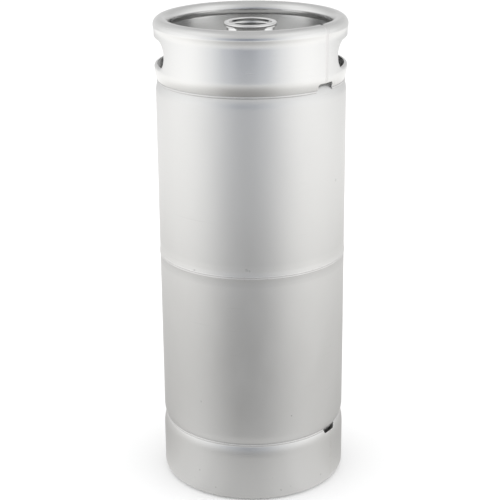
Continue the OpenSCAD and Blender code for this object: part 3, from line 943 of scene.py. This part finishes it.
def sweep(name, centres, outs, ups, profile, material, slot, body, replaced):
    """Carries a closed profile of (out, up) points along a path and closes both ends."""
    rows = [c + np.outer([p[0] for p in profile], o) + np.outer([p[1] for p in profile], u)
            for c, o, u in zip(centres, outs, ups)]
    skin = Skin()
    skin.grid(rows)
    skin.fan(rows[0])
    skin.fan(rows[-1])
    return skin.piece(name, material, slot, body, replaced)


def build_retaining_ring():
    """Split wire-formed ring in the neck's groove, with its gap at the back."""
    az = spread([187.0, 533.0], 1.2)
    mid_r, mid_z = (23.4 + 26.2) / 2, (ring_low.z + ring_high.z) / 2
    half_r, half_z = (26.2 - 23.4) / 2, (ring_high.z - ring_low.z) / 2
    profile = filleted([(-half_r, -half_z), (half_r, -half_z), (half_r, half_z), (-half_r, half_z)], 0.3)
    centres = place(az, mid_r, mid_z)
    outs = place(az, 1.0, 0.0)
    ups = np.tile([0.0, 0.0, 1.0], (len(az), 1))
    sweep("retaining_ring_wire", centres, outs, ups, profile, SPRING, "spring_steel", "keg", ("retaining_ring",))


build_retaining_ring()


def coil_rise(turn, turns, height, wire):
    closed = wire * 1.05
    pitch = (height - wire - 2 * closed) / (turns - 2)
    if turn < 1:
        return closed * turn
    if turn > turns - 1:
        return height - wire - closed * (turns - turn)
    return closed + pitch * (turn - 1)


def build_spring(name, node, low, high, turns, low_r, high_r, wire, body):
    """Round-wire coil in the place of the CAD's faceted one, with its own copy of the mesh."""
    per_turn, sides = 48, 12
    t = np.arange(turns * per_turn + 1) / per_turn
    mean_r = low_r + (high_r - low_r) * t / turns
    rise = np.array([coil_rise(v, turns, high.z - low.z, wire) for v in t])
    a = 2 * np.pi * t
    centres = np.stack([mean_r * np.cos(a), mean_r * np.sin(a), low.z + wire / 2 + rise], -1)
    outs = np.stack([np.cos(a), np.sin(a), 0 * a], -1)
    ups = np.tile([0.0, 0.0, 1.0], (len(t), 1))
    profile = [(wire / 2 * math.cos(k), wire / 2 * math.sin(k)) for k in np.arange(sides) * 2 * np.pi / sides]
    piece = sweep(name, centres, outs, ups, profile, SPRING, "spring_steel", body, (node,))
    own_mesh(piece)


build_spring("gas_spring_coil", "gas_spring", gas_low, gas_high, 7, 13.6, 13.6, 2.0, "keg")
build_spring("ball_spring_coil", "ball_spring", beer_low, beer_high, 5, 9.1, 4.6, 0.8, "spear")


def build_ball():
    """Polished ball from a divided cube, which has no poles."""
    bm = bmesh.new()
    bmesh.ops.create_cube(bm, size=2.0)
    bmesh.ops.subdivide_edges(bm, edges=bm.edges, cuts=15, use_grid_fill=True)
    centre = (ball_low + ball_high) / 2
    radius = (ball_high.x - ball_low.x) / 2
    points = [Vector([math.tan(c * math.pi / 4) for c in v.co]).normalized() * radius + centre for v in bm.verts]
    bm.verts.index_update()
    faces = [[v.index for v in f.verts] for f in bm.faces]
    bm.free()
    finish_piece("beer_valve_ball", np.array(points), faces, BALL, "ball", ("beer_ball",))


build_ball()

# The housing keeps its CAD shape: its edges are eased and it takes the pressed steel
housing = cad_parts["valve_housing"]
for material_slot in housing.material_slots:
    material_slot.material = VALVE
weld_mod = housing.modifiers.new("join", "WELD")
weld_mod.merge_threshold = 0.00001
ease = housing.modifiers.new("ease", "BEVEL")
ease.width = 0.00025
ease.segments = 2
ease.limit_method = "ANGLE"
ease.angle_limit = math.radians(35)
ease.harden_normals = True

# ---------------------------------------------------------------- studio


def studio_material(name, level, rough):
    g = Recipe(name)
    mottle = g.noise(g.stretched((3, 3, 3)), detail=4, rough=0.6)
    tone = g.math("ADD", level - 0.01, g.math("MULTIPLY", mottle, 0.02))
    scaled = g.tree.nodes.new("ShaderNodeCombineColor")
    for k in range(3):
        g.put(scaled.inputs[k], tone)
    g.put(g.shader.inputs["Base Color"], scaled.outputs[0])
    g.shader.inputs["Roughness"].default_value = rough
    g.shader.inputs["Specular IOR Level"].default_value = 0.1
    return g.material


def stage_plane(name, width, depth, matrix, material):
    mesh = bpy.data.meshes.new(name)
    w, d = width / 2, depth / 2
    mesh.from_pydata([(-w, -d, 0), (w, -d, 0), (w, d, 0), (-w, d, 0)], [], [(0, 1, 2, 3)])
    mesh.materials.append(material)
    piece = bpy.data.objects.new(name, mesh)
    bpy.context.scene.collection.objects.link(piece)
    piece.matrix_world = matrix
    return piece


floor = stage_plane("floor", 60.0, 60.0, Matrix.Identity(4), studio_material("pale_floor", 0.86, 0.9))


def stepped(tree, value, stops, top):
    """A smooth curve through (position from 0 to 1, (r, g, b)) stops, whose colours are shares of top."""
    ramp = tree.nodes.new("ShaderNodeValToRGB")
    ramp.color_ramp.interpolation = "EASE"
    tree.links.new(value, ramp.inputs[0])
    while len(ramp.color_ramp.elements) < len(stops):
        ramp.color_ramp.elements.new(0.5)
    for element, (position, colour) in zip(ramp.color_ramp.elements, stops):
        element.position = position
        element.color = [c / top for c in colour] + [1.0]
    return ramp.outputs[0]


def facing_stops(stops):
    """(how far a direction faces the camera side, from -1 to 1; level; warmth) as ramp stops."""
    return [(f / 2 + 0.5, (v * (1 + 0.5 * w), v, v * (1 - w))) for f, v, w in stops]


def blend(tree, low, high, share):
    """Colour low where share is 0 and high where it is 1."""
    node = tree.nodes.new("ShaderNodeMix")
    node.data_type = "RGBA"
    tree.links.new(share, node.inputs["Factor"])
    for socket, value in ((node.inputs[6], low), (node.inputs[7], high)):
        if isinstance(value, bpy.types.NodeSocket):
            tree.links.new(value, socket)
        else:
            socket.default_value = (*value, 1.0)
    return node.outputs[2]


def smooth_step(tree, value, low, high):
    node = tree.nodes.new("ShaderNodeMapRange")
    node.interpolation_type = "SMOOTHSTEP"
    tree.links.new(value, node.inputs["Value"])
    node.inputs["From Min"].default_value = low
    node.inputs["From Max"].default_value = high
    return node.outputs[0]


# How bright and warm reflections find the surroundings: shares of LIGHT_TOP by how far they face the camera side
LIGHT_TOP = 2.0
FAR_WALLS = ((-1.0, 0.85, 0.0), (-0.7, 1.0, 0.0), (-0.38, 1.24, 0.0), (-0.06, 1.40, 0.0), (0.22, 1.47, 0.0),
             (0.454, 1.45, 0.0), (0.73, 1.18, -0.02), (0.951, 0.61, -0.12), (1.0, 0.34, -0.2))
UPPER_WALLS = ((-1.0, 0.74, 0.0), (-0.7, 0.88, 0.0), (-0.3, 1.12, 0.0), (0.1, 1.26, 0.0), (0.454, 1.26, 0.0),
               (0.75, 1.08, 0.0), (0.94, 0.86, 0.0), (1.0, 0.78, 0.0))
CARD_FACING = ((-1.0, 1.35, 0.02), (-0.5, 1.55, 0.02), (-0.09, 1.68, 0.02), (0.29, 1.72, 0.02), (0.61, 1.55, 0.02),
               (0.75, 1.38, 0.02), (0.84, 1.14, 0.02), (0.92, 0.92, 0.02), (1.0, 0.76, 0.02))
CARD_AWAY = ((0.0, 0.50), (0.3, 0.50), (0.45, 0.48), (0.7, 0.53), (1.0, 0.64), (1.3, 0.78), (2.1, 1.00), (4.0, 1.00))
CARD_EDGE = ((-1.0, 1.25, 0.01), (-0.5, 1.45, 0.01), (-0.09, 1.56, 0.01), (0.29, 1.60, 0.01), (0.61, 1.50, 0.01),
             (0.75, 1.36, 0.0), (0.84, 1.30, 0.0), (0.92, 1.22, 0.0), (1.0, 1.14, 0.0))
GAP_TURN = math.radians(5.5)
FOOT_FACING = ((-1.0, 0.50, 0.02), (-0.38, 0.60, 0.02), (-0.1, 0.68, 0.02), (0.17, 0.80, 0.02), (0.41, 0.91, 0.015),
               (0.72, 0.93, 0.01), (0.905, 0.80, 0.01), (1.0, 0.68, 0.01))
ZENITH = (0.76, 0.76, 0.76)


def towards_gap(math_node, x, y, r):
    """0 straight away from the dim gap on the camera's side, and 1 straight towards it."""
    ahead = math_node("ADD", math_node("MULTIPLY", y, -math.cos(GAP_TURN)), math_node("MULTIPLY", x, -math.sin(GAP_TURN)))
    return math_node("MULTIPLY_ADD", math_node("DIVIDE", ahead, math_node("MAXIMUM", r, 0.001)), 0.5, 0.5)


def painted_reflection_card():
    """A glowing card on the floor that only reflections see: a painted reflection of a dimmer floor, so the steel
    keeps its tone on a pale floor.
    """
    g = Recipe("painted_reflection_card")
    g.tree.nodes.remove(g.shader)
    r = g.radius()
    facing = towards_gap(g.math, g.axis("X"), g.axis("Y"), r)
    away = stepped(g.tree, g.math("DIVIDE", r, 4.0), [(d / 4, (v, v, v)) for d, v in CARD_AWAY], 1.0)
    middle = g.tree.nodes.new("ShaderNodeVectorMath")
    middle.operation = "MULTIPLY"
    g.put(middle.inputs[0], stepped(g.tree, facing, facing_stops(CARD_FACING), LIGHT_TOP))
    g.put(middle.inputs[1], away)
    edge = stepped(g.tree, facing, facing_stops(CARD_EDGE), LIGHT_TOP)
    seen = blend(g.tree, middle.outputs[0], edge, smooth_step(g.tree, r, 1.1, 2.0))
    far = stepped(g.tree, facing, facing_stops(FAR_WALLS), LIGHT_TOP)
    seen = blend(g.tree, seen, far, smooth_step(g.tree, r, 2.3, 2.75))
    foot = stepped(g.tree, facing, facing_stops(FOOT_FACING), LIGHT_TOP)
    seen = blend(g.tree, foot, seen, smooth_step(g.tree, r, 0.16, 0.42))
    # Painted reflection: this glow stands in for the floor in the steel's reflections and is dimmer than the pale
    # floor the camera sees.
    glow = g.tree.nodes.new("ShaderNodeEmission")
    g.put(glow.inputs["Color"], seen)
    glow.inputs["Strength"].default_value = LIGHT_TOP
    output = next(n for n in g.tree.nodes if n.type == "OUTPUT_MATERIAL")
    g.tree.links.new(glow.outputs[0], output.inputs["Surface"])
    card = stage_plane("reflection_card", 50.0, 50.0, Matrix.Translation((0, 0, 0.0004)), g.material)
    for ray in ("camera", "diffuse", "transmission", "volume_scatter", "shadow"):
        setattr(card, "visible_" + ray, False)


painted_reflection_card()


def softbox(name, position, aim, width, height, power, tint=(1.0, 1.0, 1.0)):
    data = bpy.data.lights.new(name, "AREA")
    data.shape = "RECTANGLE"
    data.size, data.size_y = width, height
    data.energy = power
    data.color = tint
    lamp = bpy.data.objects.new(name, data)
    bpy.context.scene.collection.objects.link(lamp)
    lamp.location = position
    lamp.rotation_euler = (Vector(aim) - Vector(position)).to_track_quat("-Z", "Y").to_euler()
    lamp.visible_camera = False
    lamp.visible_glossy = False
    return lamp


softbox("ceiling_softbox", (0.0, 0.8, 4.5), (0, 0.8, 0), 8.0, 8.0, 190)


def studio_world():
    """Two broad soft walls of light to the sides, a dim gap towards the camera and a bright back."""
    world = bpy.data.worlds.new("studio")
    world.use_nodes = True
    bpy.context.scene.world = world
    tree = world.node_tree
    back = tree.nodes["Background"]
    coordinates = tree.nodes.new("ShaderNodeTexCoord")
    parts = tree.nodes.new("ShaderNodeSeparateXYZ")
    tree.links.new(coordinates.outputs["Generated"], parts.inputs[0])

    def math_node(operation, a, b=0.0, c=0.0):
        node = tree.nodes.new("ShaderNodeMath")
        node.operation = operation
        for socket, value in zip(node.inputs, (a, b, c)):
            if isinstance(value, bpy.types.NodeSocket):
                tree.links.new(value, socket)
            else:
                socket.default_value = value
        return node.outputs[0]

    x, y, z = parts.outputs
    flat = math_node("SQRT", math_node("ADD", math_node("MULTIPLY", x, x), math_node("MULTIPLY", y, y)))
    facing = towards_gap(math_node, x, y, flat)
    walls = stepped(tree, facing, facing_stops(FAR_WALLS), LIGHT_TOP)
    upper = stepped(tree, facing, facing_stops(UPPER_WALLS), LIGHT_TOP)
    seen = blend(tree, walls, upper, smooth_step(tree, z, 0.08, 0.45))
    top = tuple(v / LIGHT_TOP for v in ZENITH)
    tree.links.new(blend(tree, seen, top, smooth_step(tree, z, 0.80, 0.99)), back.inputs["Color"])
    back.inputs["Strength"].default_value = LIGHT_TOP


studio_world()

camera_data = bpy.data.cameras.new("camera")
camera_data.lens = 100.5
camera_data.sensor_width = 36.0
camera_data.clip_end = 100.0
camera = bpy.data.objects.new("camera", camera_data)
bpy.context.scene.collection.objects.link(camera)
pitch, roll = math.radians(19.096), math.radians(-0.448)
forward = Vector((0, math.cos(pitch), -math.sin(pitch)))
level_up = Vector((0, math.sin(pitch), math.cos(pitch)))
level_right = Vector((1, 0, 0))
right = math.cos(roll) * level_right + math.sin(roll) * level_up
up = math.cos(roll) * level_up - math.sin(roll) * level_right
turn = Matrix((right, up, -forward)).transposed().to_4x4()
camera.matrix_world = Matrix.Translation((-0.0027, -1.6718, 0.8728)) @ turn
bpy.context.scene.camera = camera
bpy.context.scene.view_settings.view_transform = "Standard"
